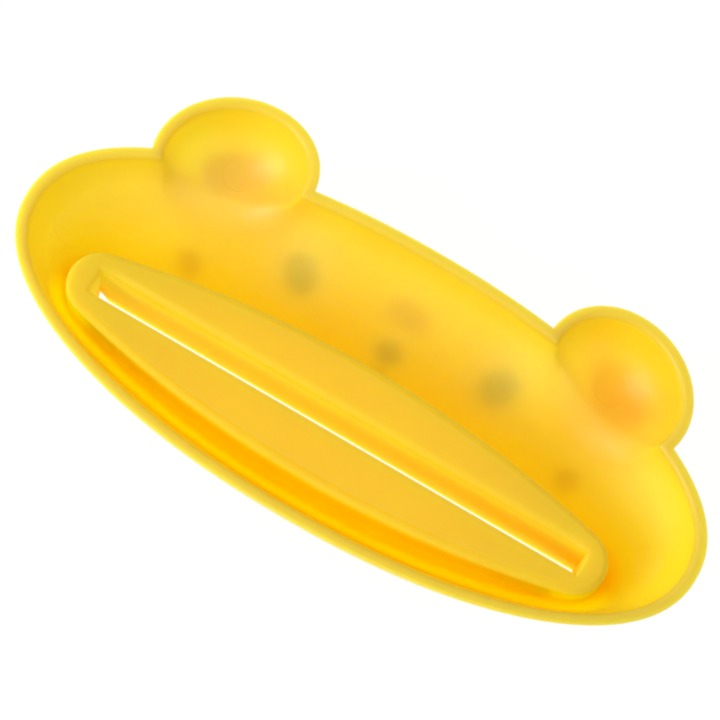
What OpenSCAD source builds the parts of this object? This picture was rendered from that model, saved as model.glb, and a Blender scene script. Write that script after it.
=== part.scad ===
// Tube squeezer for a bathroom shelf, in the shape of a smiling animal face.
// One moulded dish with two round ears lies on its face, open side up. A flat tube
// is threaded through the long slot in the mouth and the dish is pushed along it.
// The rim lies in one plane at the top, and the face looks down.

/* [Face] */
// Length of the face from cheek to cheek
face_length = 95.2; // [85:0.1:110]
// Width of the face from chin to forehead
face_width = 39.7; // [38:0.1:46]
// Depth of the dish from the rim to the front of the face
face_depth = 20; // [18:0.5:24]
// Squareness of the outline's forehead side, where 2 is a true ellipse
forehead_squareness = 2.13; // [2:0.01:2.5]
// Squareness of the outline's chin side
chin_squareness = 2.18; // [2:0.01:2.5]
// How far the equator of the domed form lies above the rim, which leans the walls in
face_lean = 4; // [2:0.5:12]
// Wall of the moulding, which is also the width of the rim
wall = 1.5; // [1.2:0.05:1.9]
// Rounding of the rim and of the edges of the mouth block
edge = 0.3; // [0.1:0.05:0.4]

/* [Ears] */
// Distance of each ear's centre from the middle of the face, along the length
ear_x = 27.6; // [25:0.1:30]
// Distance of each ear's centre above the middle of the face
ear_y = 16.55; // [15:0.05:18]
// Longer diameter of an ear
ear_length = 21.4; // [18:0.1:24]
// Shorter diameter of an ear
ear_width = 18.4; // [16:0.1:21]
// Slope of an ear's longer diameter, down towards the outside
ear_slope = 26.7; // [0:0.1:40]
// Depth of an ear's dish from the rim
ear_depth = 9.5; // [7:0.5:12]
// How far the equator of an ear's domed form lies above the rim
ear_lean = 2; // [1:0.5:4]

/* [Mouth] */
// Distance of the slot below the middle of the face
mouth_drop = 6.1; // [5:0.1:7]
// Length of the lens-shaped block round the slot, at its top
block_length = 75.6; // [74:0.1:78]
// Greatest width of the block, at its top
block_width = 16.7; // [15:0.1:18]
// Radius of the block's round ends
block_end = 4.32; // [3.5:0.01:5]
// Draft of the block's walls, in degrees
block_draft = 1.5; // [0:0.1:3]
// Thickness of the block's wall round the open mouth
mouth_wall = 1.45; // [1.2:0.05:1.8]
// Thickness of the block's top round the slot
mouth_floor = 1.8; // [1.4:0.1:2.6]
// Length of the slot that the flat tube passes through
slot_length = 69; // [64:0.5:70]
// Width of the slot
slot_width = 3.1; // [2.4:0.1:3.6]
// Depth of the squeezing lips from the rim
slot_depth = 9.1; // [5:0.1:10]
// Thickness of the squeezing lips
lip_wall = 1.3; // [1:0.1:1.5]
// Rounding of the slot's entry on the open side
slot_entry = 0.9; // [0.3:0.1:1.1]
// Bevel on one end of the upper lip, along the slot
lip_bevel_x = 1.3; // [0.6:0.1:2]
// Bevel on one end of the upper lip, along its depth
lip_bevel_z = 2.2; // [1:0.1:3]

/* [Printed face] */
// Thickness of the printed ink, measured straight down
ink = 0.15; // [0.1:0.05:0.25]
// Sideways shift of the whole print on the moulding
print_shift = 0.35; // [-0.5:0.05:0.5]
// Length and width of an eye
eye_size = [6, 5]; // [3:0.1:7]
// Place of an eye's centre from the middle of the face
eye_at = [14.9, 13.2]; // [12.5:0.1:16]
// Rise of an eye's outer end, in degrees
eye_slope = 20; // [0:1:40]
// Length and width of the nose
nose_size = [4.6, 3.6]; // [3:0.1:5]
// Height of the nose above the middle of the face
nose_y = 10.9; // [10:0.1:11.5]
// Width of the line under the nose
line_width = 1.3; // [0.8:0.1:2]
// Length of the line under the nose
line_length = 4; // [3:0.1:5]
// Length and width of a cheek spot
cheek_size = [5.4, 5]; // [3:0.1:7]
// Place of a cheek spot's centre from the middle of the face
cheek_at = [28.3, 6.9]; // [5:0.1:30]
// Length and width of the patch inside an ear
ear_patch_size = [10, 6.4]; // [5:0.1:11]
// Place of an ear patch's centre from the middle of the face
ear_patch_at = [28.8, 18.6]; // [17:0.1:30]
// Length and width of the pale spot on the brow
brow_size = [7.6, 3.6]; // [3:0.1:10]
// Height of the brow spot above the middle of the face
brow_y = 15.4; // [15:0.1:16]

/* [Fineness] */
// Sides of the oval sections of the face
face_sides = 96; // [48:8:96]
// Rings from the front of the face to its rim
face_rings = 16; // [8:1:16]
// Sides of an ear's sections
ear_sides = 48; // [32:4:52]
// Rings from the front of an ear to its rim
ear_rings = 9; // [6:1:10]
// Sides of a printed patch
patch_sides = 24; // [16:4:32]
// Rings from the middle of a printed patch to its border
patch_rings = 3; // [2:1:4]

/* [Hidden] */
// A little more than nothing, to cut cleanly through a face
over = 1;
// Thickness of the slices that a tapered form is drawn between
slice = 0.01;
shell_colour = "#FFD22E";
eye_colour = "#3A2A20";
cheek_colour = "#F08A5A";
patch_colour = "#F59A3C";

// Distance from the middle of the face to the top of the ears
ear_top = ear_y + norm([ear_length / 2 * sin(ear_slope), ear_width / 2 * cos(ear_slope)]);
// The origin lies below the middle of the whole outline
origin_shift = (face_width / 2 - ear_top) / 2;
// Height of the front of an ear above the front of the face
ear_lift = face_depth - ear_depth;

// Squareness of each outline, above and below its longer axis
face_shape = [forehead_squareness, chin_squareness];
ear_shape = [2, 2];

// Squareness of an outline on the side where y lies
function side_of(shape, y) = y < 0 ? shape[1] : shape[0];

// A point on an oval, by angle, with semi-axes and squareness
function oval(t, a, b, shape) =
    let (p = side_of(shape, sin(t)))
    [a * sign(cos(t)) * pow(abs(cos(t)), 2 / p), b * sign(sin(t)) * pow(abs(sin(t)), 2 / p)];

// Angle on the dome's meridian where it meets the rim
function rim_angle(depth, lean) = acos(lean / (depth + lean));

// Height of the dome's surface above its lowest point, at a place inside its outline
function dome_height(x, y, a, b, shape, depth, lean) =
    let (p = side_of(shape, y), share = pow(pow(abs(x) / a, p) + pow(abs(y) / b, p), 1 / p))
    (depth + lean) * (1 - sqrt(1 - pow(share * sin(rim_angle(depth, lean)), 2)));

// Domed bowl, lowest point at the origin. Past its rim the walls step by lip over the
// height lip, and then run straight up by extra.
module dome(a, b, shape, depth, lean, lip, extra, sides, rings) {
    last = rim_angle(depth, lean);
    lip_height = abs(lip);
    curve = [for (k = [1 : rings]) let (t = last * k / rings)
             [sin(t) / sin(last), 0, (depth + lean) * (1 - cos(t))]];
    top = [for (k = [0 : (extra > 0 ? 1 : 0)]) [1, lip, depth + lip_height + k * extra]];
    levels = concat(curve, top);
    corners = [for (l = levels) for (i = [0 : sides - 1])
               let (q = oval(360 * i / sides, a * l[0] + l[1], b * l[0] + l[1], shape)) [q[0], q[1], l[2]]];
    count = len(levels);
    walls = [for (k = [0 : count - 2]) for (i = [0 : sides - 1])
             let (j = (i + 1) % sides)
             [k * sides + i, (k + 1) * sides + i, (k + 1) * sides + j, k * sides + j]];
    tip = [for (i = [0 : sides - 1]) [count * sides, i, (i + 1) % sides]];
    lid = [[for (i = [0 : sides - 1]) (count - 1) * sides + (sides - 1 - i)]];
    polyhedron(concat(corners, [[0, 0, 0]]), concat(walls, tip, lid), convexity = 4);
}

// The face's dome, grown or shrunk all round
module face_dome(grow, lip, extra)
    translate([0, 0, -grow])
        dome(face_length / 2 + grow, face_width / 2 + grow, face_shape,
             face_depth - edge + grow, face_lean, lip, extra, face_sides, face_rings);

// Puts an ear's form in place, on the right where side is 1 and on the left where it is -1
module at_ear(side)
    translate([side * ear_x, ear_y, ear_lift]) rotate(-side * ear_slope) children();

// An ear's dome, grown or shrunk all round
module ear_dome(side, grow, lip, extra)
    at_ear(side) translate([0, 0, -grow])
        dome(ear_length / 2 + grow, ear_width / 2 + grow, ear_shape,
             ear_depth - edge + grow, ear_lean, lip, extra, ear_sides, ear_rings);

// Corners of the lens outline, grown all round, as two wide arcs and two round ends
function lens(grow) =
    let (reach = block_length / 2 - block_end,
         half = block_width / 2,
         bow = (reach * reach + half * half - block_end * block_end) / (2 * (half - block_end)),
         swing = asin(reach / (bow - block_end)),
         wide = [for (k = [-8 : 8]) let (t = 90 - swing * k / 8)
                 [(bow + grow) * cos(t), half - bow + (bow + grow) * sin(t)]],
         round = [for (k = [1 : 9]) let (t = (90 - swing) * (1 - k / 5))
                  [reach + (block_end + grow) * cos(t), (block_end + grow) * sin(t)]],
         right = concat(wide, round))
    concat(right, [for (q = right) -q]);

// Slice of the lens outline at a height
module lens_slice(grow, z)
    translate([0, -mouth_drop, z]) linear_extrude(slice) polygon(lens(grow));

// Rectangular slice round the slot at a height
module slot_slice(grow, z)
    translate([-slot_length / 2 - grow, -mouth_drop - slot_width / 2 - grow, z])
        cube([slot_length + 2 * grow, slot_width + 2 * grow, slice]);

// Growth of the drafted block at a distance below the rim
function draft(depth) = depth * tan(block_draft);

// Block that carries the slot, from the rim down to the front of the face
module mouth_block()
    hull() {
        lens_slice(-edge, face_depth - slice);
        lens_slice(0, face_depth - edge);
        lens_slice(draft(face_depth), 0);
    }

// Open mouth behind the lips, seen from the front of the face
module open_mouth()
    hull() {
        lens_slice(-mouth_wall, face_depth - mouth_floor - slice);
        lens_slice(-mouth_wall + draft(face_depth), -over);
    }

// Pair of squeezing lips, which run into the end walls of the block
module lips()
    translate([-block_length / 2, -mouth_drop - slot_width / 2 - lip_wall, face_depth - slot_depth])
        cube([block_length, slot_width + 2 * lip_wall, slot_depth - mouth_floor / 2]);

module slot() {
    translate([-slot_length / 2, -mouth_drop - slot_width / 2, 0])
        cube([slot_length, slot_width, face_depth + over]);
    hull() {
        slot_slice(0, face_depth - slot_entry);
        slot_slice(slot_entry, face_depth);
    }
}

// Bevelled corner of the upper lip, at the left end of its front edge
module lip_bevel()
    translate([-slot_length / 2, -mouth_drop + slot_width / 2 - slice, face_depth - slot_depth])
        rotate([90, 0, 0]) mirror([0, 0, 1])
            linear_extrude(lip_wall + 2 * slice)
                polygon([[0, -over], [lip_bevel_x * (1 + over / lip_bevel_z), -over],
                         [0, lip_bevel_z]]);

module squeezer_shell() color(shell_colour) translate([0, origin_shift, 0]) difference() {
    union() {
        face_dome(0, -edge, 0);
        for (side = [-1, 1]) ear_dome(side, 0, -edge, 0);
    }
    difference() {
        union() {
            face_dome(-wall, edge, over);
            for (side = [-1, 1]) ear_dome(side, -wall, edge, over);
        }
        mouth_block();
    }
    difference() {
        open_mouth();
        lips();
    }
    slot();
    lip_bevel();
}

// Height of the outside of the face at a place, from the front of the face
on_face = function (x, y) dome_height(x, y, face_length / 2, face_width / 2, face_shape,
                                      face_depth - edge, face_lean);

// Height of the outside of an ear at a place
on_ear = function (x, y)
    let (side = sign(x), dx = x - side * ear_x, dy = y - ear_y, t = side * ear_slope)
    ear_lift + dome_height(dx * cos(t) - dy * sin(t), dx * sin(t) + dy * cos(t),
                           ear_length / 2, ear_width / 2, ear_shape, ear_depth - edge, ear_lean);

// Oval patch of ink that follows the outside, with its inner face on the surface
module print_patch(height_at, at, size, slope) {
    middle = at + [print_shift, 0];
    ring = [for (k = [1 : patch_rings]) for (i = [0 : patch_sides - 1])
            let (t = 360 * i / patch_sides, r = k / patch_rings / 2,
                 u = r * size[0] * cos(t), v = r * size[1] * sin(t))
            middle + [u * cos(slope) - v * sin(slope), u * sin(slope) + v * cos(slope)]];
    flat = concat([middle], ring);
    points = concat([for (q = flat) [q[0], q[1], height_at(q[0], q[1])]],
                    [for (q = flat) [q[0], q[1], height_at(q[0], q[1]) - ink]]);
    n = patch_sides;
    under = len(flat);
    border = under - n;
    inner = concat([for (i = [0 : n - 1]) [0, 1 + (i + 1) % n, 1 + i]],
                   [for (k = [0 : patch_rings - 2]) for (i = [0 : n - 1])
                    let (a = 1 + k * n + i, b = 1 + k * n + (i + 1) % n) [a, b, b + n, a + n]]);
    outer = [for (f = inner) [for (i = [len(f) - 1 : -1 : 0]) f[i] + under]];
    side = [for (i = [0 : n - 1]) let (a = border + i, b = border + (i + 1) % n)
            [a, b, b + under, a + under]];
    translate([0, origin_shift, 0]) polyhedron(points, concat(inner, outer, side));
}

module left_eye() color(eye_colour)
    print_patch(on_face, [-eye_at[0], eye_at[1]], eye_size, -eye_slope);
module right_eye() color(eye_colour)
    print_patch(on_face, eye_at, eye_size, eye_slope);
module nose() color(eye_colour)
    print_patch(on_face, [0, nose_y], nose_size, 0);
module muzzle_line() color(eye_colour)
    print_patch(on_face, [0, nose_y - nose_size[1] / 2 - line_length / 2], [line_width, line_length], 0);
module left_cheek() color(cheek_colour)
    print_patch(on_face, [-cheek_at[0], cheek_at[1]], cheek_size, 0);
module right_cheek() color(cheek_colour)
    print_patch(on_face, cheek_at, cheek_size, 0);
module left_ear_patch() color(patch_colour)
    print_patch(on_ear, [-ear_patch_at[0], ear_patch_at[1]], ear_patch_size, ear_slope);
module right_ear_patch() color(patch_colour)
    print_patch(on_ear, ear_patch_at, ear_patch_size, -ear_slope);
module brow_spot() color(cheek_colour)
    print_patch(on_face, [0, brow_y], brow_size, 0);

squeezer_shell();
left_eye();
right_eye();
nose();
left_cheek();
right_cheek();
muzzle_line();
left_ear_patch();
right_ear_patch();
brow_spot();
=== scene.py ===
"""Looks of a tube squeezer in the shape of an animal face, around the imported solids.

The squeezer is one thin moulding of translucent yellow plastic with a face printed on its
outside. It lies on that side, open side up. Its sizes are in millimetres, and a mesh turns them
into metres when it is made.
"""

import math

import bmesh
import bpy
import numpy as np
from mathutils import Matrix, Vector


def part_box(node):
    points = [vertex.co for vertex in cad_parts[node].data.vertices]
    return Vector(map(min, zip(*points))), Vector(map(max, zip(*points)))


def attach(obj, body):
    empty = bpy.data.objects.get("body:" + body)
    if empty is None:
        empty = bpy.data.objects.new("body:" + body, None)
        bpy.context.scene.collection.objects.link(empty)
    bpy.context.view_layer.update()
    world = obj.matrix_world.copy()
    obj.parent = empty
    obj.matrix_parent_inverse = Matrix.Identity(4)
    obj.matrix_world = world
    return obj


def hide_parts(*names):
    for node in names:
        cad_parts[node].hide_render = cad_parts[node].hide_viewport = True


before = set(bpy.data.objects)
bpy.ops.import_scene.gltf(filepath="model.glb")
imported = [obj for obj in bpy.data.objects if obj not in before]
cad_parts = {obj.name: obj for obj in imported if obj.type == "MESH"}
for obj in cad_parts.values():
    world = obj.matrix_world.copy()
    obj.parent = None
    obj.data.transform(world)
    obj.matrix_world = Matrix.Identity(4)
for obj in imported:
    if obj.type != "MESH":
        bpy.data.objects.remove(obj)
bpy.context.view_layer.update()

MM = 0.001

# Sizes of the moulding, in millimetres, from the frame and as in the construction. The rim's inner
# edge, the crease between face and ear, and the block's edge and foot are softer than there, and the
# slot is a little deeper. All prints are shifted to the right
SHELL_LOW, SHELL_HIGH = (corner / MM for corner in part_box("squeezer_shell"))
FACE_LENGTH = SHELL_HIGH.x - SHELL_LOW.x
FACE_WIDTH = 39.7
FACE_DEPTH = SHELL_HIGH.z
FACE_Y = SHELL_LOW.y + FACE_WIDTH / 2
FOREHEAD_SQUARENESS = 2.13
CHIN_SQUARENESS = 2.18
FACE_LEAN = 4.0
WALL = 1.5
RIM_EDGE = 0.3
RIM_SOFT = 0.8
PRINT_SHIFT = 0.35

EAR_X = 27.6
EAR_Y = 16.55
EAR_LENGTH = 21.4
EAR_WIDTH = 18.4
EAR_SLOPE = math.radians(26.7)
EAR_DEPTH = 9.5
EAR_LEAN = 2.0
EAR_LIFT = FACE_DEPTH - EAR_DEPTH
CREASE_BLEND = 6.0
CREASE_FADE = 4.0
CREASE_LEAST = 1e-6

MOUTH_DROP = 6.1
BLOCK_LENGTH = 75.6
BLOCK_WIDTH = 16.7
BLOCK_END = 4.32
BLOCK_DRAFT = math.radians(1.5)
BLOCK_EDGE = 0.8
BLOCK_FOOT = 3.0
MOUTH_WALL = 1.45
MOUTH_FLOOR = 1.8
MOUTH_EDGE = 0.3
SLOT_LENGTH = 69.0
SLOT_WIDTH = 3.1
SLOT_DEPTH = 9.8
SLOT_ENTRY = 1.2
SLOT_ENTRY_FADE = 2.5
SLOT_EDGE = 0.4
SLOT_CORNER = math.radians(45)
LIP_WALL = 1.3
LIP_EDGE = 0.1
LIP_BEVEL_X = 1.3
LIP_BEVEL_Z = 2.2
POCKET_FADE = 0.4
NARROW_SHARE = 0.5

# Columns round the outline, on one half of it, and stations along a cut through the wall
FOREHEAD_COLUMNS = 44
EAR_COLUMNS = 88
CHEEK_COLUMNS = 126
OUTLINE_SAMPLES = 1200
PATH_SAMPLES = 120
DOME_STATIONS = 42
ROUND_STATIONS = 5
FOOT_STATIONS = 10
RIM_STATIONS = 3
WALL_STATIONS = 12
LIP_STATIONS = 4
TOP_STATIONS = 16
POCKET_STATIONS = 3
SHARP_ANGLE = 50
JOIN_DISTANCE = 1e-7
SKIN_ROUNDS = 8

RIM_Z = FACE_DEPTH - RIM_EDGE


def rounding(count):
    """Angles of a quarter turn, from 0 to 90 degrees."""
    return [math.pi / 2 * k / count for k in range(count + 1)]


def squareness(y):
    """Squareness of the face's outline, which differs between forehead and chin."""
    return np.where(y < 0, CHIN_SQUARENESS, FOREHEAD_SQUARENESS)


def dome_height(x, y, a, b, p, depth, lean):
    """Height of a dome above its lowest point. The dome is the cap of an ellipsoid whose middle
    lies above the dome's edge by the lean, so that the walls lean outwards there."""
    reach = depth + lean
    steepest = math.sqrt(1 - (lean / reach) ** 2)
    share = np.minimum(1, (np.abs(x / a) ** p + np.abs(y / b) ** p) ** (1 / p))
    return reach * (1 - np.sqrt(1 - (share * steepest) ** 2))


def to_ear(x, y):
    """A place on the right half of the face, in the ear's own axes."""
    dx, dy = x - EAR_X, y - EAR_Y
    return (dx * math.cos(EAR_SLOPE) - dy * math.sin(EAR_SLOPE),
            dx * math.sin(EAR_SLOPE) + dy * math.cos(EAR_SLOPE))


def from_ear(u, v):
    """A place in the right ear's own axes, as a place on the face."""
    return (EAR_X + u * math.cos(EAR_SLOPE) + v * math.sin(EAR_SLOPE),
            EAR_Y - u * math.sin(EAR_SLOPE) + v * math.cos(EAR_SLOPE))


def face_height(x, y, grow):
    """Height of the face's skin, grown outwards."""
    return dome_height(x, y, FACE_LENGTH / 2 + grow, FACE_WIDTH / 2 + grow, squareness(y),
                       RIM_Z + grow, FACE_LEAN) - grow


def ear_height(x, y, grow):
    """Height of the ears' skin, grown outwards."""
    u, v = to_ear(np.abs(x), y)
    return EAR_LIFT - grow + dome_height(u, v, EAR_LENGTH / 2 + grow, EAR_WIDTH / 2 + grow, p=2,
                                         depth=EAR_DEPTH - RIM_EDGE + grow, lean=EAR_LEAN)


def bowl_height(x, y, grow):
    """Height of the moulding's skin, where face and ear run into each other with a soft crease."""
    face, ear = face_height(x, y, grow), ear_height(x, y, grow)
    low = np.minimum(face, ear)
    blend = CREASE_BLEND * np.clip((RIM_Z - low) / CREASE_FADE, CREASE_LEAST, 1)
    near = np.maximum(blend - np.abs(face - ear), 0) / blend
    return low - near ** 2 * blend / 4


def oval(t, a, b):
    """Points of the face's outline, by angle."""
    c, s = np.cos(t), np.sin(t)
    p = squareness(s)
    return np.stack([a * np.sign(c) * np.abs(c) ** (2 / p),
                     b * np.sign(s) * np.abs(s) ** (2 / p)], -1)


def evenly(points, count):
    """Points at even distances along a line of many points, first and last kept."""
    run = np.concatenate([[0], np.cumsum(np.linalg.norm(np.diff(points, axis=0), axis=1))])
    at = np.linspace(0, run[-1], count + 1)
    return np.stack([np.interp(at, run, points[:, k]) for k in range(points.shape[1])], -1)


def mirrored(half):
    """A closed ring from its right half, which runs from the forehead's middle to the chin's."""
    left = half[-2:0:-1].copy()
    left[:, 0] *= -1
    return np.concatenate([half, left])


def outline(grow):
    """The outline of face and ears, grown all round, one point for each column."""
    a, b = FACE_LENGTH / 2 + grow, FACE_WIDTH / 2 + grow
    ear_a, ear_b = EAR_LENGTH / 2 + grow, EAR_WIDTH / 2 + grow
    turn = np.linspace(math.pi / 2, -math.pi / 2, OUTLINE_SAMPLES)
    rim = oval(turn, a, b)
    u, v = to_ear(rim[:, 0], rim[:, 1])
    outside = (u / ear_a) ** 2 + (v / ear_b) ** 2 - 1
    joints = []
    for k in np.nonzero(np.diff(np.sign(outside)))[0]:
        step = outside[k] / (outside[k] - outside[k + 1])
        joints.append(turn[k] + step * (turn[k + 1] - turn[k]))
    inner, outer = joints
    ends = oval(np.array([inner, outer]), a, b)
    u, v = to_ear(ends[:, 0], ends[:, 1])
    start, stop = np.arctan2(v / ear_b, u / ear_a)
    start = start if start > 0 else start + 2 * math.pi
    round_ear = np.linspace(start, stop, OUTLINE_SAMPLES)
    x, y = from_ear(ear_a * np.cos(round_ear), ear_b * np.sin(round_ear))
    forehead = oval(np.linspace(math.pi / 2, inner, OUTLINE_SAMPLES), a, b)
    forehead = evenly(forehead, FOREHEAD_COLUMNS)
    ear = evenly(np.stack([x, y], -1), EAR_COLUMNS)
    cheek = oval(np.linspace(outer, -math.pi / 2, OUTLINE_SAMPLES), a, b)
    cheek = evenly(cheek, CHEEK_COLUMNS)
    return mirrored(np.concatenate([forehead, ear[1:], cheek[1:]]))


def necks(ring):
    """Where a column's way from the mouth to the rim bends: on the line across an ear's foot."""
    way = ring.copy()
    for first in (FOREHEAD_COLUMNS, len(ring) - FOREHEAD_COLUMNS - EAR_COLUMNS):
        last = first + EAR_COLUMNS
        share = np.linspace(0, 1, EAR_COLUMNS + 1)[:, None]
        way[first:last + 1] = ring[first] * (1 - share) + ring[last] * share
    return way


INNER_RIM = outline(-WALL)
OUTER_RIM = outline(0)
COLUMNS = len(OUTER_RIM)

# The lens outline of the mouth block: for each column the centre, radius and direction of the
# arc that it lies on, so that a grown outline keeps its columns
REACH = BLOCK_LENGTH / 2 - BLOCK_END
HALF = BLOCK_WIDTH / 2
BOW = (REACH ** 2 + HALF ** 2 - BLOCK_END ** 2) / (2 * (HALF - BLOCK_END))
SWING = math.asin(REACH / (BOW - BLOCK_END))


def lens_columns():
    """Centre, radius and direction of the lens outline at each column."""
    to = necks(INNER_RIM) + [0, MOUTH_DROP]
    sign = np.where(to < 0, -1.0, 1.0)
    to = np.abs(to)
    on_bow = np.arctan2(to[:, 0], to[:, 1] - (HALF - BOW)) < SWING
    centre = np.where(on_bow[:, None], [0, HALF - BOW], [REACH, 0])
    radius = np.where(on_bow, BOW, BLOCK_END)
    way = to - centre
    way /= np.linalg.norm(way, axis=1)[:, None]
    return centre * sign, radius, way * sign


LENS_CENTRE, LENS_RADIUS, LENS_WAY = lens_columns()


def lens(grow):
    """The lens outline grown all round, by one length or by one for each column."""
    return LENS_CENTRE + (LENS_RADIUS + grow)[:, None] * LENS_WAY - [0, MOUTH_DROP]


def slot_shares():
    """Each column's place round the slot, where 1 is its half length or half width."""
    at = lens(0) + [0, MOUTH_DROP]
    corner = [REACH + BLOCK_END * math.cos(SLOT_CORNER), BLOCK_END * math.sin(SLOT_CORNER)]
    shares = np.clip(at / corner, -1, 1)
    for sx in (-1, 1):
        for sy in (-1, 1):
            shares[np.argmin(np.linalg.norm(shares - [sx, sy], axis=1))] = [sx, sy]
    return shares


SLOT_SHARES = slot_shares()


def slot(grow):
    """The slot's outline grown all round, by one length or by one for each column."""
    half = [SLOT_LENGTH / 2, SLOT_WIDTH / 2] + np.reshape(grow, (-1, 1))
    return SLOT_SHARES * half - [0, MOUTH_DROP]


def level(ring, z):
    """A ring at a height, or at one height for each column."""
    return np.column_stack([ring, np.broadcast_to(z, len(ring))])


def dome_rings(start, ring, grow, first, last):
    """Rings over the dome, from a ring round the mouth to the rim, spaced evenly along the skin.
    They leave out a first and a last length of it."""
    neck = necks(ring)
    share = np.linspace(0, 1, PATH_SAMPLES)[:, None, None]
    way = np.concatenate([start + (neck - start) * share, (neck + (ring - neck) * share)[1:]])
    points = np.concatenate([way, bowl_height(way[..., 0], way[..., 1], grow)[..., None]], -1)
    run = np.linalg.norm(np.diff(points, axis=0), axis=2).cumsum(0)
    run = np.concatenate([np.zeros((1, COLUMNS)), run])
    rings = np.empty((DOME_STATIONS + 1, COLUMNS, 3))
    for i in range(COLUMNS):
        at = np.linspace(first, run[-1, i] - last, DOME_STATIONS + 1)
        for k in range(3):
            rings[:, i, k] = np.interp(at, run[:, i], points[:, i, k])
    rings[..., 2] = bowl_height(rings[..., 0], rings[..., 1], grow)
    if not last:
        rings[-1] = level(ring, RIM_Z)
    return list(rings)


def block(z):
    """The block's drafted outline at a height, or at one height for each column."""
    return lens((FACE_DEPTH - z) * math.tan(BLOCK_DRAFT))


def at_skin(grow, lens_grow):
    """The height at which the drafted lens outline meets the skin."""
    z = np.zeros(COLUMNS)
    for _ in range(SKIN_ROUNDS):
        ring = lens(lens_grow + (FACE_DEPTH - z) * math.tan(BLOCK_DRAFT))
        z = bowl_height(ring[:, 0], ring[:, 1], grow)
    return ring, z


def between(a, b, count):
    """Rings on the straight way from one ring to another, both left out."""
    return [a + (b - a) * k / count for k in range(1, count)]


def softened(a, corner, b, count=ROUND_STATIONS):
    """Rings that round a corner off on the way from one ring to another, both left out."""
    shares = [k / count for k in range(1, count)]
    return [(1 - t) ** 2 * a + 2 * t * (1 - t) * corner + t ** 2 * b for t in shares]


def lip_heights():
    """Height of the lips' lower edge at each column. One end of the upper lip is bevelled."""
    at = slot(0)
    along = np.clip(1 - (at[:, 0] + SLOT_LENGTH / 2) / LIP_BEVEL_X, 0, 1)
    upper = SLOT_SHARES[:, 1] >= 1
    return FACE_DEPTH - SLOT_DEPTH + np.where(upper, along * LIP_BEVEL_Z, 0)


def shell_rings():
    """All rings of the shell: over the outside, round the rim, down the dish, up the block,
    through the slot, round the lips and out of the mouth again. Also where each stretch ends.
    The last rings of the slot count as part of the mouth."""
    def straight_to(ring, count):
        """Go on from the last ring to another in even steps."""
        rings.extend(between(rings[-1], ring, count) + [ring])

    # outside, from the mouth's edge to the rim
    mouth_ring, mouth_z = at_skin(0, -MOUTH_WALL)
    rings = dome_rings(mouth_ring, OUTER_RIM, 0, MOUTH_EDGE, 0)
    ends = {"outside": len(rings)}
    # rim
    for t in rounding(ROUND_STATIONS)[1:]:
        rings.append(level(outline(-RIM_EDGE * (1 - math.cos(t))), RIM_Z + RIM_EDGE * math.sin(t)))
    rim_inside = level(outline(-WALL + RIM_SOFT), FACE_DEPTH)
    straight_to(rim_inside, RIM_STATIONS)
    foot_ring, foot_z = at_skin(-WALL, 0)
    dish = dome_rings(foot_ring, INNER_RIM, -WALL, BLOCK_FOOT, RIM_SOFT - RIM_EDGE)[::-1]
    rings += softened(rim_inside, level(INNER_RIM, FACE_DEPTH), dish[0])
    ends["rim"] = len(rings)
    # dish, from the rim down to the block's foot
    rings += dish
    ends["dish"] = len(rings)
    # foot of the block, rounded hollow
    wall_z = foot_z + BLOCK_FOOT
    wall_start = level(block(wall_z), wall_z)
    rings += softened(rings[-1], level(foot_ring, foot_z), wall_start, FOOT_STATIONS) + [wall_start]
    ends["foot"] = len(rings)
    # wall and rounded edge of the block
    edge_z = FACE_DEPTH - BLOCK_EDGE
    straight_to(level(block(edge_z), edge_z), WALL_STATIONS)
    ends["wall"] = len(rings)
    for t in rounding(ROUND_STATIONS)[1:]:
        rings.append(level(lens(-BLOCK_EDGE * (1 - math.cos(t))), edge_z + BLOCK_EDGE * math.sin(t)))
    ends["edge"] = len(rings)
    # top of the block and rounded entry of the slot, which is wider on the upper lip
    from_end = SLOT_LENGTH / 2 * (1 - np.abs(SLOT_SHARES[:, 0]))
    wider = np.clip(from_end / SLOT_ENTRY_FADE, 0, 1) * (SLOT_SHARES[:, 1] >= 1)
    width = SLOT_EDGE + wider * (SLOT_ENTRY - SLOT_EDGE)
    straight_to(level(slot(width), FACE_DEPTH), TOP_STATIONS)
    for t in rounding(ROUND_STATIONS)[1:]:
        rings.append(level(slot(width * (1 - math.sin(t))), FACE_DEPTH - width * (1 - math.cos(t))))
    ends["top"] = len(rings)
    # slot, down to the lips' rounded lower edge
    lip_z = lip_heights()
    straight_to(level(slot(0), lip_z + LIP_EDGE), WALL_STATIONS)
    ends["slot"] = len(rings) - LIP_STATIONS
    for t in rounding(ROUND_STATIONS)[1:]:
        rings.append(level(slot(LIP_EDGE * (1 - math.cos(t))), lip_z + LIP_EDGE * (1 - math.sin(t))))
    # lips' lower edge, and the pocket behind each lip, which ends where the mouth narrows
    cavity = lens(-MOUTH_WALL)
    room = np.abs(cavity[:, 1] + MOUTH_DROP) - (SLOT_WIDTH / 2 + LIP_WALL)
    share = np.where(room > 0, LIP_WALL / (LIP_WALL + np.maximum(room, 0)), NARROW_SHARE)
    lip_back = slot(0) + (cavity - slot(0)) * share[:, None]
    depth = np.clip(room / POCKET_FADE, 0, 1)
    ceiling_z = lip_z + (FACE_DEPTH - MOUTH_FLOOR - lip_z) * depth
    for ring, z in ((lip_back, lip_z), (lip_back, ceiling_z), (cavity, ceiling_z)):
        straight_to(level(ring, z), POCKET_STATIONS)
    # wall of the mouth, down to its rounded edge
    wall_end = level(mouth_ring, mouth_z + MOUTH_EDGE)
    straight_to(wall_end, WALL_STATIONS)
    rings += softened(wall_end, level(mouth_ring, mouth_z), rings[0])
    ends["mouth"] = len(rings)
    return rings, ends


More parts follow.
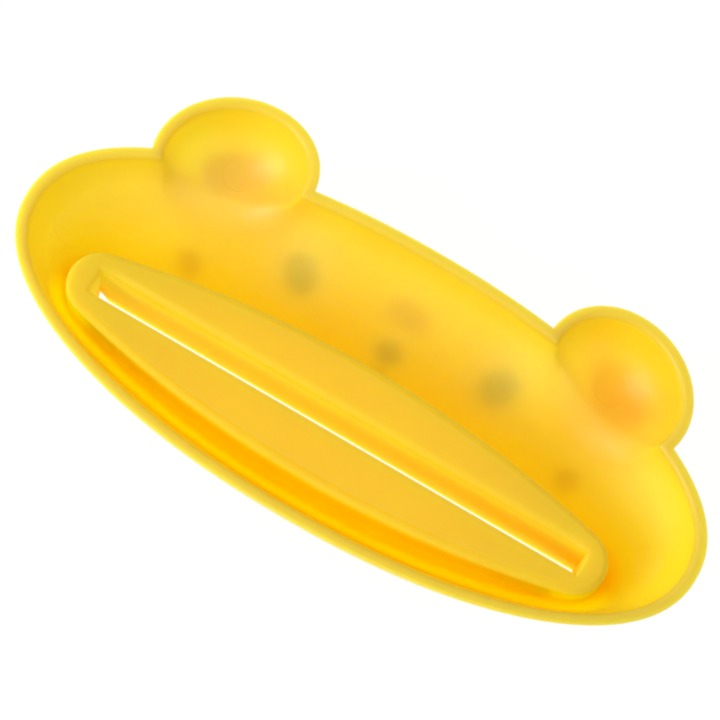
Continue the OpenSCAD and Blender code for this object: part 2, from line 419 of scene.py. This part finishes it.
def make_object(name, points, faces):
    """A closed, smooth-shaded piece that rides on the shell's body, from points in millimetres
    about the middle of the face."""
    mesh = bpy.data.meshes.new(name)
    mesh.from_pydata(((points + [0, FACE_Y, 0]) * MM).tolist(), [], faces)
    mesh.validate()
    mesh.shade_smooth()
    piece = bpy.data.objects.new(name, mesh)
    bpy.context.scene.collection.objects.link(piece)
    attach(piece, "root")
    return piece


# Tones of the plastic on each stretch of its skin, with painted light and shade in them. The narrow rim
# is painted paler, greener and darker, the block's foot a deeper orange as painted shade where light
# stays between its walls, the block's wall and the slot lighter yellow as painted light, the block's
# edge paler as a painted highlight, and its top a little darker. The steps are softened over some rings
# on both sides
TONES_AND_PAINTED_LIGHT = {"outside": (0.99, 0.66, 0.03),
         "rim": (0.88, 0.585, 0.045),
         "dish": (0.99, 0.65, 0.02),
         "foot": (0.99, 0.575, 0.0),
         "wall": (0.99, 0.78, 0.0),
         "edge": (0.99, 0.64, 0.05),
         "top": (0.93, 0.622, 0.008),
         "slot": (0.99, 0.84, 0.06),
         "mouth": (0.99, 0.66, 0.05)}
STEP_RINGS = 2

# How many times as far as elsewhere light spreads in some stretches. Where that is further, it holds
# for the chin side only, and fades out between two values of y
SPREAD = {"foot": 3.2, "wall": 6.0, "edge": 0.2}
SPREAD_FADE = (-10, -5)

# Shares of the way along and up the face in how far a place lies towards the right cheek and chin,
# where the painted shade is stronger
SHADE_SIDE_MIDDLE = 0.5
SHADE_SIDE_ALONG = 0.35
SHADE_SIDE_UP = 0.15

# Painted shade on the rim: its darker tone towards the chin and right cheek, its darker tint at both
# tips, and how deep down its tones reach
RIM_CHIN_SHADE = (0.65, 0.49, 0.035)
RIM_TIP_SHADE = (0.93, 0.97, 1.0)
RIM_TIP_POWER = 6
RIM_TONE_REACH = 9

# The gutter between block and chin takes the block foot's deeper orange, as painted shade. It fades in
# between two values of y, and over the first share of the dish below the rim
GUTTER_FADE = (-13, -16)
GUTTER_TOP = (0, 0.25)
GUTTER_SPREAD = 2.0

# Painted sheen: a pale painted reflection half way down the dish on the forehead side, between two
# values of y
PAINTED_SHEEN = (0.0, 0.0, 0.07)
PAINTED_SHEEN_FADE = (1, 9)

# Painted shadow of the block: a darker, more orange tint of the dish round it, weaker on the left and
# absent on the chin side
BLOCK_SHADE_TINT = (0.99, 0.9, 0.35)
BLOCK_SHADE_POWER = 2.5
BLOCK_SHADE_LEFT = 0.15
BLOCK_SHADE_FADE = (-9, -3)
BLOCK_SHADE_SPREAD = -0.12

# Painted shade on the slot's walls at the right end, a deeper orange. The left end has the opposite,
# painted light
SLOT_LIGHT_AND_SHADE = (1.0, 0.92, 0.5)

# Painted soft shadows of the prints, seen through the plastic: tints, with the spread of light as the
# fourth value
DARK_SHADOW = (0.87, 1.10, 1.7, 0.75)
NOSE_SHADOW = (0.91, 1.10, 1.6, 0.75)
WARM_SHADOW = (1.0, 1.02, 1.1, 0.94)
EAR_SHADOW = (1.0, 0.90, 0.3, 0.87)
SHADOW_FALL = 2.5
# Each shadow's tint, how much stronger it is painted on the right, and its middle, half sizes and slope.
# On the ear this adds painted shade to the print's shadow
SHADOWS = [(DARK_SHADOW, 0, (14.9, 13.2), (7.2, 6.4), 20),
           (NOSE_SHADOW, 0, (0, 9.4), (4.6, 5.0), 0),
           (WARM_SHADOW, 0, (28.3, 6.9), (6.5, 6.0), 0),
           (WARM_SHADOW, 0, (0, 15.4), (6.0, 4.0), 0),
           (EAR_SHADOW, 0.65, (27.4, 18.5), (11.0, 8.5), -26.7)]
LEAN_MIDDLE = 0.38
LEAN_REACH = 0.2

# Painted shade and light that even out the ears' lighting: painted shade on the right of each ear, where
# its highlight falls, and painted light on its left. Each: tint and place along the face, from the
# middle of the ear
EAR_LIGHT_AND_SHADE = [((0.99, 0.90, 0.9, 0.9), 5.0), ((1.0, 1.10, 1.2, 1.1), -6.5)]
EAR_SIDE_Y = EAR_Y + 0.8
EAR_SIDE_REACH = 4.5


def ramp(values, start, end):
    """0 up to the start, 1 from the end on, and an even rise between them."""
    return np.clip((values - start) / (end - start), 0, 1)


def tint(colour, weight, factors):
    """Multiply colours by factors, as far as the weights say."""
    colour *= 1 - weight[:, None] * (1 - np.array(factors))


def bring_to(goal, colour, weight):
    """Bring colours nearer to a goal, as far as the weights say."""
    colour += weight[:, None] * (goal - colour)


def shadow(x, y, at, size, slope):
    """How deep each point lies in the painted soft shadow of a print or its twin, from 0 to 1."""
    dx, dy = np.abs(x - PRINT_SHIFT) - at[0], y - at[1]
    c, s = math.cos(math.radians(slope)), math.sin(math.radians(slope))
    u, v = (dx * c + dy * s) / size[0], (dy * c - dx * s) / size[1]
    return np.exp(-SHADOW_FALL * (u * u + v * v))


def stretch_tones(ends, count):
    """Tone, with painted light and shade, and spread of light on each ring, by stretch."""
    rows = np.empty((count, 4))
    start = 0
    for name, end in ends.items():
        rows[start:end] = [*TONES_AND_PAINTED_LIGHT[name], SPREAD.get(name, 1)]
        start = end
    around = np.concatenate([rows[-STEP_RINGS:], rows, rows[:STEP_RINGS]])
    window = 2 * STEP_RINGS + 1
    return sum(around[k:k + count] for k in range(window)) / window


def tones(points, ends, count):
    """Colour of the plastic at each point, with painted light and shade in it, and how far light spreads
    in it as the fourth value.
    """
    x, y, z = points.T
    row = np.repeat(np.arange(count), COLUMNS)
    way = ramp(row, ends["rim"], ends["dish"])
    in_dish = (way > 0) & (way < 1)
    along, up = x / (FACE_LENGTH / 2), y / (FACE_WIDTH / 2)
    # How far a place lies towards the right cheek and chin, where painted shade is stronger
    side = np.clip(SHADE_SIDE_MIDDLE + SHADE_SIDE_ALONG * along - SHADE_SIDE_UP * up, 0, 1)

    colour = np.repeat(stretch_tones(ends, count), COLUMNS, axis=0)
    plain, spread = colour[:, :3], colour[:, 3]
    spread -= np.maximum(spread - 1, 0) * ramp(y, *SPREAD_FADE)

    # Painted shade: the rim darker towards the chin and right cheek, and at both tips
    rim = np.array(TONES_AND_PAINTED_LIGHT["rim"]) + side[:, None] * (np.array(RIM_CHIN_SHADE) - TONES_AND_PAINTED_LIGHT["rim"])
    tint(rim, np.abs(along) ** RIM_TIP_POWER, RIM_TIP_SHADE)
    bring_to(rim, plain, ramp(z, FACE_DEPTH - RIM_TONE_REACH, FACE_DEPTH) * (row < ends["rim"]))
    # Painted shade in the gutter between block and chin
    gutter = in_dish * ramp(y, *GUTTER_FADE) * ramp(way, *GUTTER_TOP)
    bring_to([*TONES_AND_PAINTED_LIGHT["foot"], GUTTER_SPREAD], colour, gutter)
    # Painted sheen, a pale reflection, half way down the dish
    plain += (4 * way * (1 - way) * ramp(y, *PAINTED_SHEEN_FADE))[:, None] * PAINTED_SHEEN

    # Painted shadow on the dish round the block
    deep = (way * (row < ends["foot"])) ** BLOCK_SHADE_POWER * ramp(y, *BLOCK_SHADE_FADE)
    deep *= BLOCK_SHADE_LEFT + (1 - BLOCK_SHADE_LEFT) * side / side.max()
    tint(plain, deep, BLOCK_SHADE_TINT)
    spread += deep * BLOCK_SHADE_SPREAD

    # Painted shade at the slot's right end, painted light at its left end
    in_slot = (row >= ends["top"]) & (row < ends["slot"])
    tint(plain, in_slot * x / (SLOT_LENGTH / 2), SLOT_LIGHT_AND_SHADE)

    # Painted soft shadows of the prints, stronger on the right where their lean says
    to_right = np.clip((side - LEAN_MIDDLE) / LEAN_REACH, -1, 1)
    for factors, lean, *place in SHADOWS:
        tint(colour, in_dish * shadow(x, y, *place) * (1 + lean * to_right), factors)
    # Painted shade on the right of each ear and painted light on its left
    for factors, shift in EAR_LIGHT_AND_SHADE:
        away = np.hypot(np.abs(x - shift) - EAR_X, y - EAR_SIDE_Y)
        tint(colour, in_dish * np.exp(-(away / EAR_SIDE_REACH) ** 2), factors)
    return np.maximum(colour, 0)


def close_up(mesh):
    """Join points that lie on each other, where a pocket has run out to nothing."""
    work = bmesh.new()
    work.from_mesh(mesh)
    bmesh.ops.remove_doubles(work, verts=work.verts, dist=JOIN_DISTANCE)
    work.to_mesh(mesh)
    work.free()


def finishes(ends, count):
    """Number of each ring's finish: duller down the dish, and dullest in the slot and the mouth."""
    row = np.arange(count)
    dullest = len(FINISHES) - 1
    way = ramp(row, ends["rim"], ends["dish"])
    down_dish = (row < ends["edge"]) * ramp(way, *DULL_DISH) * dullest
    return (down_dish + (row >= ends["top"] - 1) * dullest).astype(np.int32)


def make_shell():
    """The moulding, as one closed net of rings and columns."""
    rings, ends = shell_rings()
    count = len(rings)
    points = np.concatenate(rings)
    faces = []
    for i in range(count):
        for j in range(COLUMNS):
            here, there = i * COLUMNS, (i + 1) % count * COLUMNS
            beside = (j + 1) % COLUMNS
            faces.append((here + j, there + j, there + beside, here + beside))
    shell = make_object("shell", points, faces)
    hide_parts("squeezer_shell")
    for name, gloss in FINISHES:
        shell.data.materials.append(plastic(name, gloss))
    shell.data.polygons.foreach_set("material_index", np.repeat(finishes(ends, count), COLUMNS))
    # The tone attribute holds the plastic's colour with its painted light and shade
    tone = shell.data.color_attributes.new("tone", "FLOAT_COLOR", "POINT")
    tone.data.foreach_set("color", tones(points, ends, count).ravel())
    close_up(shell.data)
    shell.data.set_sharp_from_angle(angle=math.radians(SHARP_ANGLE))


# Camera, above the open side and a little towards the chin and the right cheek. Its aim is from
# the middle of the face, in millimetres. Its clip distances are in metres
CAMERA_AIM = Vector((-1.37, 2.19, 20))
CAMERA_WAY = Vector((0.0601, -0.3250, 0.9438)).normalized()
CAMERA_DISTANCE = 303.1
CAMERA_ROLL = math.radians(31.25)
CAMERA_LENS = 122.96
SENSOR = 36
CLIP_START = 0.01
CLIP_END = 10


def make_camera():
    """The camera, turned about its own axis as in the picture."""
    data = bpy.data.cameras.new("camera")
    data.lens = CAMERA_LENS
    data.sensor_width = SENSOR
    data.clip_start = CLIP_START
    data.clip_end = CLIP_END
    camera = bpy.data.objects.new("camera", data)
    bpy.context.scene.collection.objects.link(camera)
    up = (Vector((0, 1, 0)) - CAMERA_WAY * CAMERA_WAY.y).normalized()
    across = up.cross(CAMERA_WAY)
    right = across * math.cos(CAMERA_ROLL) + up * math.sin(CAMERA_ROLL)
    top = up * math.cos(CAMERA_ROLL) - across * math.sin(CAMERA_ROLL)
    place = (CAMERA_AIM + Vector((0, FACE_Y, 0)) + CAMERA_WAY * CAMERA_DISTANCE) * MM
    turn = Matrix((right, top, CAMERA_WAY)).transposed().to_4x4()
    camera.matrix_world = Matrix.Translation(place) @ turn
    bpy.context.scene.camera = camera


make_camera()


# Finishes of the plastic, each with its gloss. It gets duller between two shares of the way down
# the dish
FINISHES = [("shell_plastic", 0.45), ("satin_plastic", 0.3), ("dull_plastic", 0.15), ("matt_plastic", 0)]
DULL_DISH = (0.4, 0.775)
PLASTIC_IOR = 1.49
PLASTIC_ROUGHNESS = (0.40, 0.45)
# How far red, green and blue light spread in the plastic, as shares of a length in metres
GLOW_RADIUS = (1.0, 0.85, 0.12)
GLOW_SCALE = 0.005
# Cloudiness and satin texture: sizes as noise scales, and the satin's depth in metres
NOISE_DETAIL = 3
NOISE_LOW = 0.35
NOISE_HIGH = 0.65
CLOUD_SCALE = 120
CLOUD_DEPTH = 0.03
SATIN_SCALE = 2600
SATIN_DEPTH = 0.00002
SATIN_STRENGTH = 0.2
# Round marks of the pins, the same on both sides. The shift lifts all of the face above y = 0, so
# that taking the absolute value mirrors only left and right. Only the depth is in metres
PINS = [(27.65, 18.3), (41.8, 0.2)]
PIN_SHIFT = 60
PIN_RADIUS = 2.2
PIN_EDGE = 0.25
PIN_DEPTH = 0.00004


def new_material(name):
    """A material with its node tree, its Principled shader and a function that adds nodes to it."""
    material = bpy.data.materials.new(name)
    material.use_nodes = True
    tree = material.node_tree
    shader = tree.nodes["Principled BSDF"]

    def add(kind, **inputs):
        """A new node, with some of its inputs set."""
        node = tree.nodes.new(kind)
        for key, value in inputs.items():
            node.inputs[key.replace("_", " ")].default_value = value
        return node

    return material, tree, shader, add


def plastic(name, gloss):
    """Translucent yellow plastic: a satin moulding, faintly cloudy, with the round marks of the
    pins that pushed it out of its mould."""
    material, tree, shader, add = new_material(name)
    links = tree.links
    shader.inputs["Specular IOR Level"].default_value = gloss
    shader.inputs["IOR"].default_value = PLASTIC_IOR
    shader.inputs["Subsurface Weight"].default_value = 1
    shader.inputs["Subsurface Radius"].default_value = GLOW_RADIUS
    place = add("ShaderNodeTexCoord").outputs["Object"]

    def noise(scale, low, high):
        """Soft noise between two values."""
        clouds = add("ShaderNodeTexNoise", Scale=scale, Detail=NOISE_DETAIL)
        spread = add("ShaderNodeMapRange", From_Min=NOISE_LOW, From_Max=NOISE_HIGH,
                     To_Min=low, To_Max=high)
        links.new(place, clouds.inputs["Vector"])
        links.new(clouds.outputs[0], spread.inputs["Value"])
        return spread.outputs[0]

    # The base colour is the tone attribute, with its painted light and shade
    tone = add("ShaderNodeAttribute")
    tone.attribute_name = "tone"
    colour = add("ShaderNodeVectorMath")
    colour.operation = "SCALE"
    links.new(tone.outputs["Color"], colour.inputs[0])
    glow = add("ShaderNodeMath")
    glow.operation = "MULTIPLY"
    glow.inputs[1].default_value = GLOW_SCALE
    links.new(tone.outputs["Alpha"], glow.inputs[0])
    links.new(glow.outputs[0], shader.inputs["Subsurface Scale"])
    links.new(noise(CLOUD_SCALE, 1 - CLOUD_DEPTH, 1), colour.inputs["Scale"])
    links.new(colour.outputs[0], shader.inputs["Base Color"])
    links.new(noise(CLOUD_SCALE, *PLASTIC_ROUGHNESS), shader.inputs["Roughness"])
    satin = add("ShaderNodeBump", Strength=SATIN_STRENGTH, Distance=SATIN_DEPTH)
    links.new(noise(SATIN_SCALE, 0, 1), satin.inputs["Height"])
    pins = add("ShaderNodeBump", Strength=1, Distance=PIN_DEPTH)
    links.new(pin_marks(add, links, place), pins.inputs["Height"])
    links.new(satin.outputs[0], pins.inputs["Normal"])
    links.new(pins.outputs[0], shader.inputs["Normal"])
    return material


def pin_marks(add, links, place):
    """Height of the plastic round the pins: 0 inside a mark, 1 outside it."""
    def vector(operation, start, other=None):
        """A step of vector arithmetic on an earlier output."""
        node = add("ShaderNodeVectorMath")
        node.operation = operation
        links.new(start, node.inputs[0])
        if other:
            node.inputs[1].default_value = other
        return node

    shifted = vector("SUBTRACT", place, (0, (FACE_Y - PIN_SHIFT) * MM, 0))
    one_side = vector("ABSOLUTE", shifted.outputs[0])
    flat = vector("MULTIPLY", one_side.outputs[0], (1, 1, 0))
    marks = None
    for x, y in PINS:
        away = vector("DISTANCE", flat.outputs[0], (x * MM, (y + PIN_SHIFT) * MM, 0))
        edge = add("ShaderNodeMapRange", From_Min=(PIN_RADIUS - PIN_EDGE) * MM, From_Max=PIN_RADIUS * MM)
        links.new(away.outputs["Value"], edge.inputs["Value"])
        if marks:
            lowest = add("ShaderNodeMath")
            lowest.operation = "MINIMUM"
            links.new(marks, lowest.inputs[0])
            links.new(edge.outputs[0], lowest.inputs[1])
            marks = lowest.outputs[0]
        else:
            marks = edge.outputs[0]
    return marks


make_shell()


def ink(name, colour, passing):
    """Thin ink that lets a share of the light pass, tinted."""
    material, _, shader, _ = new_material(name)
    shader.inputs["Base Color"].default_value = colour
    shader.inputs["Roughness"].default_value = INK_ROUGHNESS
    shader.inputs["IOR"].default_value = INK_IOR
    shader.inputs["Transmission Weight"].default_value = passing
    return material


INK_ROUGHNESS = 0.35
INK_IOR = 1.05
INKS = {"dark_ink": ink("dark_ink", (0.40, 0.52, 0.45, 1), 0.95),
        "coral_ink": ink("coral_ink", (0.98, 0.74, 0.5, 1), 0.95),
        "orange_ink": ink("orange_ink", (0.98, 0.64, 0.22, 1), 0.92)}

PRINT_GAP = 0.01
INK_THICKNESS = 0.14
PRINT_SIDES = 96
PRINT_RINGS = 14
# Each print: the node that it stands for, its ink, its middle on the right half of the face or on
# the middle line, its length and width, and its slope. A print on one side has a twin on the other
PRINTS = [("eye", "dark_ink", (14.9, 13.2), (4.8, 4.1), 20),
          ("cheek", "coral_ink", (28.3, 6.9), (3.3, 3.1), 0),
          ("ear_patch", "orange_ink", (28.4, 18.4), (10.0, 6.4), -26.7),
          ("nose", "dark_ink", (0, 10.9), (3.5, 2.8), 0),
          ("muzzle_line", "dark_ink", (0, 7.3), (1.2, 3.6), 0),
          ("brow_spot", "coral_ink", (0, 15.4), (6.4, 3.0), 0)]


def make_print(name, ink_name, at, size, slope):
    """A thin oval layer of ink on the outside of the moulding, thinned out at its border."""
    turn = np.arange(PRINT_SIDES) * 2 * math.pi / PRINT_SIDES
    shares = np.sin(np.linspace(0, math.pi / 2, PRINT_RINGS + 1)[1:])
    u = np.outer(shares, np.cos(turn)).ravel() * size[0] / 2
    v = np.outer(shares, np.sin(turn)).ravel() * size[1] / 2
    c, s = math.cos(math.radians(slope)), math.sin(math.radians(slope))
    x = np.concatenate([[0], u * c - v * s]) + at[0] + PRINT_SHIFT
    y = np.concatenate([[0], u * s + v * c]) + at[1]
    thickness = INK_THICKNESS * np.sqrt(1 - np.repeat(shares, PRINT_SIDES) ** 2)
    thickness = np.concatenate([[INK_THICKNESS], thickness])
    skin = bowl_height(x, y, 0) - PRINT_GAP
    upper = np.column_stack([x, y, skin])
    lower = np.column_stack([x, y, skin - thickness])[:1 + (PRINT_RINGS - 1) * PRINT_SIDES]
    n, under = PRINT_SIDES, len(upper)
    faces = []
    for base in (0, under):
        for i in range(n):
            j = (i + 1) % n
            faces.append((base, base + 1 + i, base + 1 + j))
            for k in range(PRINT_RINGS - 1):
                a, b = 1 + k * n, 1 + (k + 1) * n
                outer = 0 if base and k == PRINT_RINGS - 2 else base
                faces.append((base + a + i, outer + b + i, outer + b + j, base + a + j))
    half = len(faces) // 2
    faces = faces[:half] + [face[::-1] for face in faces[half:]]
    piece = make_object(name + "_ink", np.concatenate([upper, lower]), faces)
    piece.data.materials.append(INKS[ink_name])
    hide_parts(name)


for name, ink_name, at, size, slope in PRINTS:
    if at[0]:
        make_print("right_" + name, ink_name, at, size, slope)
        make_print("left_" + name, ink_name, (-at[0], at[1]), size, -slope)
    else:
        make_print(name, ink_name, at, size, slope)


def add_mesh(name, points, faces):
    """An object that isn't part of the squeezer, in metres."""
    mesh = bpy.data.meshes.new(name)
    mesh.from_pydata(points, [], faces)
    thing = bpy.data.objects.new(name, mesh)
    bpy.context.scene.collection.objects.link(thing)
    return thing


# Floor and light: places and sizes in metres
FLOOR_REACH = 3.0
FLOOR_ALBEDO = 0.9
FLOOR_SHADE = 0.15
FLOOR_LIGHT = 1.62
HORIZON_LIGHT = 0.4
ZENITH_LIGHT = 0.7
LIGHT_BOUNCES = 16
PICTURE_SOFTNESS = 2.2
KEY_PLACE = (-0.65, -0.65, 0.55)
KEY_SIZE = 0.7
KEY_POWER = 6.5
SIDE_PLACE = (-0.8, 0.5, 0.25)
SIDE_SIZE = 0.5
SIDE_POWER = 1.0
# Light of the sky on a flat floor, and the emission that makes the open parts of it exactly white
SKY_MEAN_HEIGHT = 2 / 3
SKY_LIGHT = HORIZON_LIGHT + (ZENITH_LIGHT - HORIZON_LIGHT) * SKY_MEAN_HEIGHT
FLOOR_SEEN = (1 - FLOOR_SHADE * FLOOR_ALBEDO * SKY_LIGHT) / (1 - FLOOR_SHADE)


def seen(add, links):
    """1 for rays from the camera, reflections and glass, and 0 for light on the object."""
    rays = add("ShaderNodeLightPath")
    most = rays.outputs["Is Camera Ray"]
    for ray in ("Is Glossy Ray", "Is Transmission Ray"):
        larger = add("ShaderNodeMath")
        larger.operation = "MAXIMUM"
        links.new(most, larger.inputs[0])
        links.new(rays.outputs[ray], larger.inputs[1])
        most = larger.outputs[0]
    return most


def make_floor():
    """White floor. The camera sees it as white, with part of the object's shadow."""
    r = FLOOR_REACH
    floor = add_mesh("floor", [(-r, -r, 0), (r, -r, 0), (r, r, 0), (-r, r, 0)], [(0, 1, 2, 3)])
    material, tree, shader, add = new_material("floor")
    shader.inputs["Base Color"].default_value = (FLOOR_ALBEDO, FLOOR_ALBEDO, FLOOR_ALBEDO, 1)
    shader.inputs["Roughness"].default_value = 1
    shader.inputs["Specular IOR Level"].default_value = 0
    links = tree.links
    glow = add("ShaderNodeEmission", Color=(1, 1, 1, 1))
    strength = add("ShaderNodeMapRange")
    strength.inputs["To Min"].default_value = FLOOR_LIGHT
    strength.inputs["To Max"].default_value = FLOOR_SEEN
    mix = add("ShaderNodeMixShader", Fac=1 - FLOOR_SHADE)
    links.new(seen(add, links), strength.inputs["Value"])
    links.new(strength.outputs[0], glow.inputs["Strength"])
    links.new(shader.outputs[0], mix.inputs[1])
    links.new(glow.outputs[0], mix.inputs[2])
    links.new(mix.outputs[0], tree.nodes["Material Output"].inputs["Surface"])
    floor.data.materials.append(material)


make_floor()


def make_world():
    """Soft studio light from above, dimmer towards the horizon. The camera sees it as white."""
    world = bpy.data.worlds.new("studio")
    bpy.context.scene.world = world
    world.use_nodes = True
    tree = world.node_tree
    shader = tree.nodes["Background"]
    shader.inputs["Color"].default_value = (1, 1, 1, 1)
    way = tree.nodes.new("ShaderNodeTexCoord")
    height = tree.nodes.new("ShaderNodeSeparateXYZ")
    sky = tree.nodes.new("ShaderNodeMapRange")
    sky.inputs["To Min"].default_value = HORIZON_LIGHT
    sky.inputs["To Max"].default_value = ZENITH_LIGHT
    strength = tree.nodes.new("ShaderNodeMix")
    strength.inputs["B"].default_value = 1
    links = tree.links
    links.new(way.outputs["Generated"], height.inputs[0])
    links.new(height.outputs["Z"], sky.inputs["Value"])
    links.new(seen(tree.nodes.new, links), strength.inputs["Factor"])
    links.new(sky.outputs[0], strength.inputs["A"])
    links.new(strength.outputs[0], shader.inputs["Strength"])


make_world()


def make_lamp(name, place, size, power):
    """A round soft light that shines at the object."""
    data = bpy.data.lights.new(name, "AREA")
    data.shape = "DISK"
    data.size = size
    data.energy = power
    lamp = bpy.data.objects.new(name, data)
    bpy.context.scene.collection.objects.link(lamp)
    turn = Vector(place).to_track_quat("Z", "Y").to_matrix().to_4x4()
    lamp.matrix_world = Matrix.Translation(place) @ turn


make_lamp("key", KEY_PLACE, KEY_SIZE, KEY_POWER)
make_lamp("side", SIDE_PLACE, SIDE_SIZE, SIDE_POWER)

bpy.context.scene.view_settings.view_transform = "Standard"
bpy.context.scene.cycles.max_bounces = LIGHT_BOUNCES
bpy.context.scene.cycles.diffuse_bounces = LIGHT_BOUNCES
bpy.context.scene.cycles.filter_width = PICTURE_SOFTNESS
